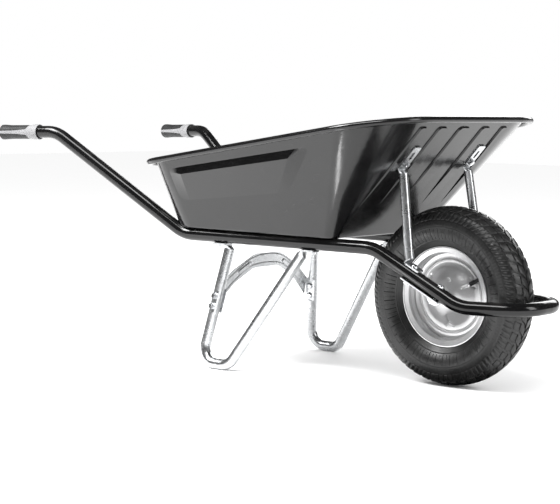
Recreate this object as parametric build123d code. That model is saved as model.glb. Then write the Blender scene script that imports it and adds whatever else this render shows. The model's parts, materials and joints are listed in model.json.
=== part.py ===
from build123d import *
import math
import os

# A builder's wheelbarrow. Millimetres; X runs forward, Y to the pusher's left, Z up from the
# ground. Points below are measured from the axle line; the whole barrow is then moved so that
# the origin is on the ground under the middle of its length.
barrow_shift = 463.5

# Wheel
axle_height = 200.0
tyre_radius = 200.0
tyre_half_width = 50.0
rim_sheet = 2.0
# Profiles as (radius, y) from the middle plane outwards; the other half mirrors them
rim_profile = [
    (97.0, 11.0), (100.5, 17.0), (100.5, 26.0), (109.5, 28.5), (111.3, 30.5), (111.3, 32.0),
    (109.3, 32.0), (108.2, 30.3), (98.5, 28.0), (98.5, 18.0), (95.0, 12.0),
]
tyre_outside = [
    (112.2, 30.5), (118.0, 35.0), (126.0, 40.7), (140.0, 47.6), (155.5, tyre_half_width),
    (171.0, 48.4), (183.0, 43.0), (191.0, 34.5), (196.6, 21.0), (199.3, 9.0), (tyre_radius, 0.0),
]
tyre_bead = [(111.9, 29.0), (110.0, 28.1), (101.2, 25.6), (101.2, 18.2), (103.0, 17.6)]
tyre_inside = [
    (110.5, 20.0), (118.0, 28.5), (132.0, 37.5), (152.0, 42.0), (170.0, 39.5), (183.0, 30.0),
    (190.0, 14.0), (191.5, 0.0),
]
tube_outside = [
    (112.6, 18.0), (118.5, 27.0), (132.5, 36.5), (152.0, 41.0), (169.5, 38.5), (182.0, 29.2),
    (189.0, 13.5), (190.5, 0.0),
]
tube_middle_radius = 152.0
tube_core_share = 0.95
hub_radius = 17.0
hub_bore_radius = 14.0
hub_half_length = 30.0
# Middle line of each wheel disc as (radius, y)
disc_line = [
    (hub_radius, 27.0), (30.0, 26.0), (38.0, 22.5), (46.0, 17.0), (56.0, 9.0), (66.0, 4.5),
    (76.0, 4.0), (81.0, 6.0), (87.0, 4.0), (95.0, 6.0),
]
bearing_width = 12.0
axle_radius = 8.0
running_gap = 0.05
side_gap = 0.5

# Valve
valve_angle = 29.0
valve_y = -12.0
valve_tip_radius = 66.0
valve_stem_radius = 3.8
valve_foot_radius = 5.4
valve_foot_seat = 112.2
valve_foot_height = 4.0
valve_collar_seat = 98.0
valve_collar_wall = 1.0
valve_collar_length = 14.0
valve_hole_gap = 1.4
valve_hole_length = 30.0
valve_cap_length = 11.0
valve_cap_radius = 4.8
valve_cap_end = 2.0

# Frame tube, as corner points for the left side from the handle end to the front loop
frame_diameter = 30.0
frame_wall = 1.5
frame_points = [
    (-1170.0, 291.2, 538.6),
    (-1004.0, 265.0, 542.5),
    (-657.0, 170.0, 307.5),
    (-107.0, 150.0, 307.5),
    (101.0, 120.0, 192.5),
    (235.0, 78.0, 193.0),
]
frame_bends = [77.0, 80.0, 90.0, 92.0, 88.0]
frame_level = 307.5

# Tray
sheet = 1.5
floor_z = frame_level + frame_diameter / 2
floor_front = (-202.0, 179.0)
floor_rear = (-705.0, 186.0)
floor_front_radius = 22.0
floor_rear_radius = 84.0
mouth_front = (42.0, 318.0)
mouth_rear = (-706.0, 253.0)
mouth_front_radius = 130.0
mouth_rear_radius = 68.0
mouth_front_z = 591.0
mouth_slope = 0.1494
wall_inset = 1.0
floor_bend = 9.0
floor_relief_start = -630.0
floor_relief_gap = 0.3
floor_panel_rear = -625.0
floor_panel_front = -255.0
floor_panel_width = 230.0
floor_panel_round = 24.0
floor_panel_rise = 3.0
rim_reach = 14.0
rim_roll_radius = 7.0
rim_roll_wall = 1.5
rim_roll_drop = 3.0
sheet_drill_length = 10.0
rib_height = 3.5
rib_taper = 30.0
front_rib_places = [(0.0, 44.0), (83.5, 34.0), (-83.5, 34.0), (156.0, 24.0), (-156.0, 24.0)]
front_rib_foot = 392.0
front_rib_top = 575.0
front_rib_fade = 1.9
side_step_depth = 9.0
side_step_top = [(0.155, 0.85), (0.675, 0.865)]
side_step_edge = [(0.165, 0.77), (0.66, 0.79)]
side_step_foot = [(0.18, 0.38), (0.64, 0.42)]
side_step_tip = 0.055

# Legs, as corner points in side view; each leg leans outward going down
leg_diameter = 25.0
leg_wall = 1.5
leg_bend = 38.0
leg_foot_y = 205.5
leg_lean = 0.1755
leg_rear_top = (-523.5, 279.0)
leg_rear_foot = (-567.5, leg_diameter / 2)
leg_front_foot = (-481.0, leg_diameter / 2)
leg_front_top = (-304.4, 279.0)
leg_tab_width = 28.0
leg_tab_thickness = 4.0
leg_tab_rear = (-548.5, 165.9)
leg_tab_front = (-273.5, 156.0)
leg_tab_overhang = 10.0
leg_flat_depth = 3.0
leg_flat_length = 52.0
brace_bolt_heights = (167.0, 143.0)

# Brace between the rear tubes of the legs
brace_sheet = 2.5
brace_setback = 15.0
brace_top = [(46.0, 263.0), (118.0, 227.0), (161.5, 190.0)]
brace_round = 60.0
brace_under = [(46.0, 229.0), (106.0, 197.0), (163.0, 146.0)]
brace_tab_length = 56.0
brace_tab_width = 27.0
brace_tab_lift = 4.0
brace_slot = (44.0, 9.0, 1.5)

# Stays from the frame up to the sloping front of the tray
stay_diameter = 20.0
stay_wall = 1.5
stay_y = 124.5
stay_tab_width = 28.0
stay_tab_round = 6.0
stay_tab_thickness = 3.5
stay_top_tab = (482.0, 531.0)
stay_top_bolt_z = 495.0
stay_slot_z = 512.0
stay_slot_length = 22.0
stay_slot_width = 8.0
stay_low_point = (-20.6, 134.5, 289.0)
stay_high_point = (-48.6, 124.8, 472.0)
stay_low_tab = (-22.0, 18.0)

# Axle brackets bolted under the frame
bracket_sheet = 3.0
bracket_lug_y = 62.0
bracket_lug_radius = 17.0
bracket_bolt_before = 106.0
bracket_bolt_spacing = 75.0
bracket_end = 13.0
bracket_outer = 13.0
bracket_lug_thickness = 4.0
spacer_radius = 12.0
axle_half_length = 79.0

# Fasteners
bolt_radius = 4.0
bolt_gap = 0.3
head_radius = 7.5
head_height = 4.5
head_round = 3.15
bolt_end = 1.0
nut_across_flats = 13.0
nut_height = 6.5
washer_radius = 8.5
washer_thickness = 1.6
axle_washer_radius = 14.0
axle_nut_flats = 24.0
axle_nut_height = 10.0

# Grips
grip_length = 121.0
grip_radius = 17.2
grip_end_radius = 18.6
grip_tip = 5.0
grip_collar = 13.0
grip_inlay = 1.6
# Outline of the grip as (radius, distance from its rear end)
grip_profile = [
    (grip_radius - 2.4, 0.0), (grip_end_radius, 5.0), (grip_end_radius, 12.0), (grip_radius, 34.0),
    (grip_radius, 92.0), (grip_end_radius, 108.0), (grip_end_radius, grip_length),
]
# Half height of the light stripe at distances from the grip's rear end
grip_stripe = [(3.15, 3.0), (4.5, 60.0), (7.2, 88.0)]


def bent_path(points, radii):
    # Path through the points with every inner corner rounded
    corners = [Vector(*point) for point in points]
    edges = []
    start = corners[0]
    for before, corner, after, radius in zip(corners, corners[1:], corners[2:], radii):
        back = (before - corner).normalized()
        ahead = (after - corner).normalized()
        half_angle = math.radians(back.get_angle(ahead)) / 2
        reach = radius / math.tan(half_angle)
        enter = corner + back * reach
        leave = corner + ahead * reach
        middle = corner + (back + ahead).normalized() * (radius / math.sin(half_angle) - radius)
        edges.append(Line(start, enter))
        edges.append(ThreePointArc(enter, middle, leave))
        start = leave
    edges.append(Line(start, corners[-1]))
    return Wire([edge.edge() for edge in edges])


def swept_bar(path, radius):
    section = Plane(origin=path @ 0, z_dir=path % 0) * Circle(radius)
    return sweep(section, path=path)


def swept_tube(path, diameter, wall):
    return swept_bar(path, diameter / 2) - swept_bar(path, diameter / 2 - wall)


def other_side(shape):
    return mirror(shape, about=Plane.XZ)


def both_sides(shape):
    return Compound([shape, other_side(shape)])


def group(shapes):
    return Compound([solid for shape in shapes for solid in shape.solids()])


def shifted(plane, x, y, z):
    # The same plane with its origin moved in its own directions
    return Plane(origin=plane.from_local_coords((x, y, z)), x_dir=plane.x_dir, z_dir=plane.z_dir)


def flipped(plane):
    return Plane(origin=plane.origin, x_dir=plane.x_dir, z_dir=plane.z_dir * -1)


def along(start, end, distance):
    begin = Vector(*start)
    return begin + (Vector(*end) - begin).normalized() * distance


def turned(profile_points):
    # Revolve a closed outline of (radius, y) points about the axle
    outline = Plane.YZ * make_face(Polyline([(y, axle_height + r) for r, y in profile_points], close=True))
    return revolve(outline, axis=Axis((0, 0, axle_height), (0, 1, 0)))


def flat_join(circle_plane, radius, flat_plane, width, thickness):
    # Pressed-flat part of a tube: round at one end, a flat oval at the other
    return loft([circle_plane * Circle(radius), flat_plane * Ellipse(width / 2, thickness / 2)])


# Frame

def frame_path():
    right = [(x, -y, z) for x, y, z in reversed(frame_points)]
    return bent_path(frame_points + right, frame_bends + frame_bends[::-1])


def tray_bolt_spots():
    return [(x, y * side) for x, y in (leg_tab_rear, leg_tab_front) for side in (1, -1)]


def frame_slope(distance):
    # Plane on the left tube's sloping run: x along the tube, z up and square to it
    start = frame_points[3]
    end = frame_points[4]
    origin = along(start, end, distance)
    run = (Vector(*end) - Vector(*start)).normalized()
    across = Vector(0, 0, 1).cross(run).normalized()
    return Plane(origin=origin, x_dir=run, z_dir=run.cross(across))


def bracket_bolt_planes():
    return [frame_slope(bracket_bolt_before + step * bracket_bolt_spacing) for step in (0, 1)]


def frame_tube():
    body = swept_tube(frame_path(), frame_diameter, frame_wall)
    hole = bolt_radius + bolt_gap
    for x, y in tray_bolt_spots():
        body -= Pos(x, y, frame_level) * Cylinder(hole, 2 * frame_diameter)
    for plane in bracket_bolt_planes():
        drill = plane * Cylinder(hole, 2 * frame_diameter)
        body -= drill
        body -= other_side(drill)
    return body


# Tray

def mouth_z(x):
    return mouth_front_z + mouth_slope * (x - mouth_front[0])


def tray_loop(front, rear, front_radius, rear_radius, height):
    # Closed outline with rounded corners; height gives z for each x
    middle = (front[0] + rear[0]) / 2
    side = (front[1] + rear[1]) / 2
    corners = [
        (middle, side),
        (front[0], front[1]),
        (front[0], -front[1]),
        (rear[0], -rear[1]),
        (rear[0], rear[1]),
        (middle, side),
    ]
    points = [(x, y, height(x)) for x, y in corners]
    return bent_path(points, [front_radius, front_radius, rear_radius, rear_radius])


def grown(front, rear, reach):
    return (front[0] + reach, front[1] + reach), (rear[0] - reach, rear[1] + reach)


def mouth_loop(reach, lift):
    front, rear = grown(mouth_front, mouth_rear, reach)
    return tray_loop(front, rear, mouth_front_radius + reach, mouth_rear_radius + reach,
                     lambda x: mouth_z(x) + lift)


def tray_form(inset, lift):
    # Solid that fills the tray, pulled in by inset on the sides and raised by lift
    floor_a, floor_b = grown(floor_front, floor_rear, -inset)
    bottom = tray_loop(floor_a, floor_b, floor_front_radius - inset, floor_rear_radius - inset,
                       lambda x: floor_z + lift)
    form = loft([make_face(bottom), make_face(mouth_loop(-inset, lift))], ruled=True)
    lowest = form.faces().sort_by(Axis.Z)[0]
    return fillet(lowest.edges(), floor_bend - inset)


def front_wall_plane(height):
    # Plane on the outside of the sloping front wall: x across, y up the slope, z out of the wall
    share = (height - floor_z) / (mouth_front_z - floor_z)
    x = floor_front[0] + share * (mouth_front[0] - floor_front[0])
    rise = Vector(mouth_front[0] - floor_front[0], 0, mouth_front_z - floor_z).normalized()
    return Plane(origin=(x, 0, height), x_dir=(0, 1, 0), z_dir=rise.cross(Vector(0, -1, 0)))


def front_wall_thickness():
    normal = front_wall_plane(floor_z).z_dir
    return wall_inset * normal.X - sheet * normal.Z


def front_wall_length(low, high):
    # Distance up the slope of the front wall between two heights
    run = mouth_front[0] - floor_front[0]
    rise = mouth_front_z - floor_z
    return (high - low) * math.hypot(run, rise) / rise


def front_ribs(sink):
    length = front_wall_length(front_rib_foot, front_rib_top)
    plane = front_wall_plane((front_rib_top + front_rib_foot) / 2)
    ribs = []
    # Everything above this tilted plane is cut away, so the ribs fade out at the foot
    above = front_wall_plane(front_rib_foot) * Rot(front_rib_fade, 0, 0) * Pos(0, 0, length - sink)
    above = above * Box(2 * mouth_front[1], 2 * length, 2 * length)
    for y, width in front_rib_places:
        outline = plane * Pos(y, 0, -sheet / 2 - sink) * RectangleRounded(width, length, width / 3)
        rib = extrude(outline, amount=rib_height + sheet / 2, dir=plane.z_dir, taper=rib_taper)
        ribs.append(rib - above)
    return ribs


def blend(start, end, share):
    return start + (end - start) * share


def side_wall_point(run, rise):
    # Point on the left side wall; run goes from rear to front, rise from floor to mouth
    low = blend(Vector(*floor_rear, floor_z), Vector(*floor_front, floor_z), run)
    high_rear = Vector(*mouth_rear, mouth_z(mouth_rear[0]))
    high_front = Vector(*mouth_front, mouth_z(mouth_front[0]))
    return blend(low, blend(high_rear, high_front, run), rise)


def side_steps(sink):
    # Long pressed step below the rim on each side, fading out towards the floor
    middle = side_wall_point(0.5, 0.5)
    outward = (side_wall_point(0.2, 0.5) - middle).cross(side_wall_point(0.5, 0.8) - middle).normalized()
    outward = outward if outward.Y > 0 else outward * -1
    sections = []
    tips = (-side_step_tip, side_step_tip)
    for top, edge, foot, tip in zip(side_step_top, side_step_edge, side_step_foot, tips):
        lift = side_step_depth - sink
        root = -sheet / 2 - sink
        faded = [
            side_wall_point(top[0] + tip, top[1]) + outward * root,
            side_wall_point(top[0] + tip, top[1] - abs(tip)) + outward * (root + sheet / 4),
            side_wall_point(foot[0] + tip, foot[1]) + outward * root,
        ]
        full = [
            side_wall_point(*top) + outward * root,
            side_wall_point(*edge) + outward * lift,
            side_wall_point(*foot) + outward * root,
        ]
        pair = [make_face(Polyline(corners, close=True)) for corners in (faded, full)]
        sections += pair if tip < 0 else pair[::-1]
    step = loft(sections, ruled=True)
    return [step, other_side(step)]


def tube_relief(gap):
    # Room over the frame tubes where they bend up beside the rear corners of the floor
    length = floor_relief_start - frame_points[1][0]
    behind = Pos(floor_relief_start - length / 2, 0, floor_z) * Box(length, 2 * length, 2 * length)
    return swept_bar(frame_path(), frame_diameter / 2 + gap) & behind


def floor_panel(sink):
    # Flat panel pressed up from the floor between the frame tubes
    length = floor_panel_front - floor_panel_rear
    middle = (floor_panel_front + floor_panel_rear) / 2
    outline = Pos(middle, 0, floor_z - sheet) * RectangleRounded(
        length - 2 * sink, floor_panel_width - 2 * sink, floor_panel_round - sink)
    return extrude(outline, amount=sheet + floor_panel_rise, taper=rib_taper)


def tray():
    outside = tray_form(0, 0)
    inside = tray_form(wall_inset, sheet)
    for form in front_ribs(0) + side_steps(0):
        outside += form
    for form in front_ribs(sheet) + side_steps(sheet):
        inside += form
    outside -= tube_relief(floor_relief_gap)
    inside -= tube_relief(floor_relief_gap + sheet)
    outside -= floor_panel(sheet)
    inside -= Pos(0, 0, sheet) * floor_panel(0)
    body = outside - inside
    rim = Face(mouth_loop(rim_reach - rim_roll_radius + rim_roll_wall, 0)) - Face(mouth_loop(-wall_inset, 0))
    rim_plane_up = Vector(-mouth_slope, 0, 1).normalized()
    body += extrude(rim, amount=sheet, dir=rim_plane_up)
    roll_path = mouth_loop(rim_reach, -rim_roll_drop)
    body += swept_bar(roll_path, rim_roll_radius) - swept_bar(roll_path, rim_roll_radius - rim_roll_wall)
    drill = Cylinder(bolt_radius + bolt_gap, sheet_drill_length)
    for x, y in tray_bolt_spots():
        body -= Pos(x, y, floor_z) * drill
    for side in (1, -1):
        body -= front_wall_plane(stay_top_bolt_z) * Pos(side * stay_y, 0, 0) * drill
    return body


# Legs and brace

def leg_point(x, z):
    # Left leg: a point in side view put on the leaning plane
    return Vector(x, leg_foot_y - leg_lean * z, z)


def leg_normal():
    return Vector(0, 1, leg_lean).normalized()


def upright_plane(height):
    # Plane on the left rear tube's axis: x up the tube, z outwards
    low = leg_point(*leg_rear_foot)
    high = leg_point(*leg_rear_top)
    share = (height - low.Z) / (high.Z - low.Z)
    return Plane(origin=blend(low, high, share), x_dir=(high - low).normalized(), z_dir=leg_normal())


def leg_flats(depth):
    # Blocks that press a flat on the inside and the outside of the upright
    middle = sum(brace_bolt_heights) / 2
    half = leg_diameter / 2
    plane = upright_plane(middle)
    return [
        plane * Pos(0, 0, side * (half - depth + half)) * Box(leg_flat_length, 2 * leg_diameter, leg_diameter)
        for side in (1, -1)
    ]


def leg_end(path_point, direction, bolt_spot, forward):
    # Flattened end of the leg, turned under the frame tube
    x, y = bolt_spot
    top_z = frame_level - frame_diameter / 2
    round_plane = Plane(origin=path_point, x_dir=(0, 1, 0), z_dir=direction)
    reach = (top_z - leg_tab_thickness / 2 - path_point.Z) / direction.Z
    flat_point = path_point + direction * reach
    flat_centre = Vector(flat_point.X, y, flat_point.Z)
    flat_plane = Plane(origin=flat_centre, x_dir=(0, 1, 0), z_dir=direction)
    join = flat_join(round_plane, leg_diameter / 2, flat_plane, leg_tab_width, leg_tab_thickness)
    tab_end = x + forward * leg_tab_overhang
    length = abs(tab_end - flat_centre.X) + leg_tab_thickness
    middle = (tab_end + flat_centre.X - forward * leg_tab_thickness) / 2
    outline = RectangleRounded(length, leg_tab_width, leg_tab_thickness)
    tab = extrude(Pos(middle, y, top_z - leg_tab_thickness) * outline, amount=leg_tab_thickness)
    block = Box(4 * leg_diameter, 4 * leg_diameter, 2 * leg_diameter)
    above = Pos(flat_centre.X, y, top_z + leg_diameter) * block
    return (join - above) + tab - Pos(x, y, top_z) * Cylinder(bolt_radius + bolt_gap, leg_diameter)


def leg():
    corners = [leg_point(*spot) for spot in (leg_rear_top, leg_rear_foot, leg_front_foot, leg_front_top)]
    path = bent_path([tuple(corner) for corner in corners], [leg_bend, leg_bend])
    outer = swept_bar(path, leg_diameter / 2)
    inner = swept_bar(path, leg_diameter / 2 - leg_wall)
    for block in leg_flats(leg_flat_depth):
        outer -= block
    for block in leg_flats(leg_flat_depth + leg_wall):
        inner -= block
    body = outer - inner
    body += leg_end(corners[0], (corners[0] - corners[1]).normalized(), leg_tab_rear, -1)
    body += leg_end(corners[3], (corners[3] - corners[2]).normalized(), leg_tab_front, 1)
    for height in brace_bolt_heights:
        body -= upright_plane(height) * Cylinder(bolt_radius + bolt_gap, 2 * leg_diameter)
    return body


def brace_plane():
    # Upright plane of the arch, tilted forward like the rear tubes; x across, y up
    slope = (leg_rear_top[0] - leg_rear_foot[0]) / (leg_rear_top[1] - leg_rear_foot[1])
    foot_x = leg_rear_foot[0] - slope * leg_rear_foot[1] - brace_setback
    return Plane(origin=(foot_x, 0, 0), x_dir=(0, 1, 0), z_dir=(1, 0, -slope))


def brace_bends(corner):
    # True for the arch's inner corners, which are rounded; its four end corners stay sharp
    return corner.Y > brace_under[-1][1] and abs(corner.X) < (brace_top[1][0] + brace_top[2][0]) / 2


def brace_slot_places():
    # Middle and turn of the pressed slot on each side of the arch
    places = []
    for side in (1, -1):
        ends = [
            Vector(side * (top[0] + under[0]) / 2, (top[1] + under[1]) / 2)
            for top, under in zip(brace_top[:2], brace_under[:2])
        ]
        run = ends[1] - ends[0]
        places.append((blend(ends[0], ends[1], 0.5), math.degrees(math.atan2(run.Y, run.X))))
    return places


def brace():
    plane = brace_plane()
    top = brace_top[::-1] + [(-y, z) for y, z in brace_top]
    under = brace_under[::-1] + [(-y, z) for y, z in brace_under]
    outline = make_face(Polyline(top + under[::-1], close=True))
    bends = [corner for corner in outline.vertices() if brace_bends(corner)]
    arch = plane * fillet(bends, brace_round)
    body = extrude(arch, amount=brace_sheet)
    slot_length, slot_width, slot_rise = brace_slot
    middle = sum(brace_bolt_heights) / 2
    inner_face = leg_diameter / 2 - leg_flat_depth
    tab = upright_plane(middle + brace_tab_lift) * Pos(0, 0, -inner_face - brace_sheet / 2)
    tab = tab * Box(brace_tab_length, brace_tab_width, brace_sheet)
    for centre, turn in brace_slot_places():
        place = plane * Pos(centre.X, centre.Y, brace_sheet) * Rot(0, 0, turn)
        body += extrude(place * SlotOverall(slot_length, slot_width), amount=slot_rise, dir=plane.z_dir)
    body += tab
    body += other_side(tab)
    corners = [leg_point(*spot) for spot in (leg_rear_top, leg_rear_foot, leg_front_foot)]
    path = bent_path([tuple(corner) for corner in corners], [leg_bend])
    leg_form = swept_bar(path, leg_diameter / 2)
    for block in leg_flats(leg_flat_depth):
        leg_form -= block
    body -= leg_form
    body -= other_side(leg_form)
    for height in brace_bolt_heights:
        drill = upright_plane(height) * Cylinder(bolt_radius + bolt_gap, 3 * leg_diameter)
        body -= drill
        body -= other_side(drill)
    return body


# Stays

def stay_low_plane():
    return shifted(bracket_bolt_planes()[0], 0, 0, frame_diameter / 2)


def stay_end(tube_end, direction, plane, tab_middle, tab_length, start):
    # Flat tab of a stay on a plane, with the pressed part that joins it to the tube
    half = stay_tab_thickness / 2
    outline = RectangleRounded(tab_length, stay_tab_width, stay_tab_round)
    tab = extrude(plane * tab_middle * outline, amount=stay_tab_thickness, dir=plane.z_dir)
    round_plane = Plane(origin=tube_end, x_dir=(0, 1, 0), z_dir=direction)
    flat_origin = plane.from_local_coords((start[0], start[1], half))
    flat_plane = Plane(origin=flat_origin, x_dir=(0, 1, 0), z_dir=direction)
    return tab + flat_join(round_plane, stay_diameter / 2, flat_plane, stay_tab_width, stay_tab_thickness)


def stay():
    low = Vector(*stay_low_point)
    high = Vector(*stay_high_point)
    direction = (high - low).normalized()
    body = swept_tube(Wire([Line(low, high).edge()]), stay_diameter, stay_wall)
    half = stay_tab_thickness / 2

    wall = front_wall_plane(sum(stay_top_tab) / 2)
    length = front_wall_length(*stay_top_tab)
    middle = Pos(stay_y, 0, 0) * Rot(0, 0, 90)
    body += stay_end(high, direction, wall, middle, length, (stay_y, half - length / 2))
    drill = Cylinder(bolt_radius + bolt_gap, 4 * stay_diameter)
    body -= front_wall_plane(stay_top_bolt_z) * Pos(stay_y, 0, 0) * drill
    slot = front_wall_plane(stay_slot_z) * Pos(stay_y, 0, -stay_diameter) * Rot(0, 0, 90)
    slot = slot * SlotOverall(stay_slot_length, stay_slot_width)
    body -= extrude(slot, amount=2 * stay_diameter, dir=wall.z_dir)

    seat = stay_low_plane()
    middle = Pos(sum(stay_low_tab) / 2, 0, 0)
    length = stay_low_tab[1] - stay_low_tab[0]
    body += stay_end(low, direction, seat, middle, length, (stay_low_tab[0] + half, 0))
    body -= seat * Cylinder(bolt_radius + bolt_gap, 2 * frame_diameter)
    return body


# Axle and its brackets

def axle():
    return Pos(0, 0, axle_height) * Rot(90, 0, 0) * Cylinder(axle_radius, 2 * axle_half_length)


def axle_ring(inner, outer, start, end):
    # Ring round the axle on the left, from y = start to y = end
    ring = Cylinder(outer, end - start) - Cylinder(inner, end - start)
    return Pos(0, (start + end) / 2, axle_height) * Rot(90, 0, 0) * ring


def axle_bracket():
    seat = shifted(bracket_bolt_planes()[0], 0, 0, -frame_diameter / 2 - bracket_sheet)
    inner = bracket_lug_y - frame_slope(bracket_bolt_before).origin.Y
    far_end = bracket_bolt_spacing + bracket_end
    outline = [
        (-bracket_end, bracket_outer),
        (far_end, bracket_outer),
        (far_end, -bracket_outer),
        (far_end - 1.5 * bracket_end, inner - bracket_end),
        (0.5 * bracket_end, inner - bracket_end),
        (-bracket_end, -bracket_outer),
    ]
    plate = extrude(seat * make_face(Polyline(outline, close=True)), amount=bracket_sheet, dir=seat.z_dir)
    reach = 4 * bracket_lug_radius
    lug = Circle(bracket_lug_radius) + Pos(0, reach / 2) * Rectangle(2 * bracket_lug_radius, reach)
    lug_face = (0, bracket_lug_y + bracket_lug_thickness, axle_height)
    lug_plane = Plane(origin=lug_face, x_dir=(1, 0, 0), z_dir=(0, -1, 0))
    lug = extrude(lug_plane * lug, amount=bracket_lug_thickness)
    lug -= seat * Pos(0, 0, bracket_sheet + 2 * reach) * Box(8 * reach, 8 * reach, 4 * reach)
    body = plate + lug
    body -= Pos(0, bracket_lug_y - reach, axle_height) * Box(8 * reach, 2 * reach, 8 * reach)
    body -= Pos(0, bracket_lug_y, axle_height) * Rot(90, 0, 0) * Cylinder(axle_radius, reach)
    for plane in bracket_bolt_planes():
        body -= plane * Cylinder(bolt_radius + bolt_gap, 3 * frame_diameter)
    return body


def axle_nut():
    start = bracket_lug_y + bracket_lug_thickness + washer_thickness
    plane = Plane(origin=(0, start, axle_height), x_dir=(1, 0, 0), z_dir=(0, 1, 0))
    hexagon = RegularPolygon(axle_nut_flats / 2, 6, major_radius=False)
    return extrude(plane * (hexagon - Circle(axle_radius)), amount=axle_nut_height)


# Wheel

def rim_ring():
    outline = rim_profile + [(r, -y) for r, y in reversed(rim_profile)]
    return turned(outline) - valve_drill()


def valve_plane(radius):
    # Plane on the valve's axis: z from the rim towards the hub
    angle = math.radians(valve_angle)
    inward = Vector(-math.cos(angle), 0, -math.sin(angle))
    origin = Vector(0, valve_y, axle_height) - inward * radius
    return Plane(origin=origin, x_dir=(0, 1, 0), z_dir=inward)


def valve_drill():
    return valve_plane(valve_collar_seat) * Cylinder(valve_stem_radius + valve_hole_gap, valve_hole_length)


def wheel_disc():
    near = [(r, y + rim_sheet / 2) for r, y in disc_line]
    far = [(r, y - rim_sheet / 2) for r, y in disc_line]
    return turned(near + far[::-1])


def hub_tube():
    return axle_ring(hub_bore_radius, hub_radius, -hub_half_length, hub_half_length)


def wheel_bearing():
    return axle_ring(axle_radius + running_gap, hub_bore_radius, hub_half_length - bearing_width, hub_half_length)


def mirrored_spline(half):
    # Smooth line through (radius, y) points that end on the middle plane, and their mirror image
    return Spline([(y, r) for r, y in half] + [(-y, r) for r, y in reversed(half[:-1])])


def spun_section(edges):
    outline = Plane.YZ * make_face(edges)
    return revolve(Pos(0, 0, axle_height) * outline, axis=Axis((0, 0, axle_height), (0, 1, 0)))


def tyre():
    edges = [mirrored_spline(tyre_outside).edge(), mirrored_spline(tyre_inside).edge()]
    points = [tyre_outside[0]] + tyre_bead + [tyre_inside[0]]
    for side in (1, -1):
        edges += Polyline([(side * y, r) for r, y in points]).edges()
    return spun_section(edges)


def closed_ring(half):
    radius, y = half[0]
    closing = Line((-y, radius), (y, radius))
    return spun_section([mirrored_spline(half).edge(), closing.edge()])


def inner_tube():
    core = [
        (tube_middle_radius + (r - tube_middle_radius) * tube_core_share, y * tube_core_share)
        for r, y in tube_outside
    ]
    return closed_ring(tube_outside) - closed_ring(core)


def valve_stem():
    top = valve_plane(valve_foot_seat)
    length = valve_foot_seat - valve_tip_radius
    foot = top * Pos(0, 0, valve_foot_height / 2) * Cylinder(valve_foot_radius, valve_foot_height)
    stem = top * Pos(0, 0, length / 2) * Cylinder(valve_stem_radius, length)
    collar = Cylinder(valve_stem_radius + valve_collar_wall, valve_collar_length)
    return foot + stem + valve_plane(valve_collar_seat) * collar


def valve_cap():
    outer = Cylinder(valve_cap_radius, valve_cap_length)
    bore = Pos(0, 0, -valve_cap_end) * Cylinder(valve_stem_radius, valve_cap_length)
    place = valve_plane(valve_tip_radius + valve_cap_length / 2 - valve_cap_end)
    return place * (outer - bore)


# Grips

def handle_plane():
    # Plane on the rear end of the left handle: z forward along the tube
    rear = Vector(*frame_points[0])
    forward = (Vector(*frame_points[1]) - rear).normalized()
    return Plane(origin=rear - forward * grip_tip, x_dir=(0, 0, 1), z_dir=forward)


def grip_form(skin):
    profile = [(0.0, skin)]
    profile += [(radius - skin, max(place, skin)) for radius, place in grip_profile]
    profile += [(0.0, grip_length)]
    outline = Plane.XZ * make_face(Polyline(profile, close=True))
    return revolve(outline, axis=Axis.Z)


def grip_pieces():
    # Dark grip with a light inlay: a stripe down each side that widens into the front collar
    skin = grip_form(0) - grip_form(grip_inlay)
    wide = 3 * grip_radius
    stripe = grip_stripe + [(wide, grip_length - grip_collar), (wide, 2 * grip_length)]
    outline = stripe + [(-x, z) for x, z in reversed(stripe)]
    zone = extrude(Plane.XZ * make_face(Polyline(outline, close=True)), amount=2 * grip_radius, both=True)
    inlay = skin & zone
    bore = Pos(0, 0, grip_tip + grip_length / 2) * Cylinder(frame_diameter / 2, grip_length)
    dark = grip_form(0) - inlay - bore
    return handle_plane() * dark, handle_plane() * (inlay - bore)


# Fasteners

def bolt(plane, reach):
    # Head on the plane, shank along minus z
    head = Pos(0, 0, head_height / 2) * Cylinder(head_radius, head_height)
    head = fillet(head.edges().group_by(Axis.Z)[-1], head_round)
    shank = Pos(0, 0, -reach / 2) * Cylinder(bolt_radius, reach)
    return plane * (head + shank)


def nut(plane):
    # Nut standing on the plane
    hexagon = RegularPolygon(nut_across_flats / 2, 6, major_radius=False) - Circle(bolt_radius)
    return extrude(plane * hexagon, amount=nut_height, dir=plane.z_dir)


def washer(plane):
    ring = Cylinder(washer_radius, washer_thickness) - Cylinder(bolt_radius, washer_thickness)
    return plane * Pos(0, 0, washer_thickness / 2) * ring


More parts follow.
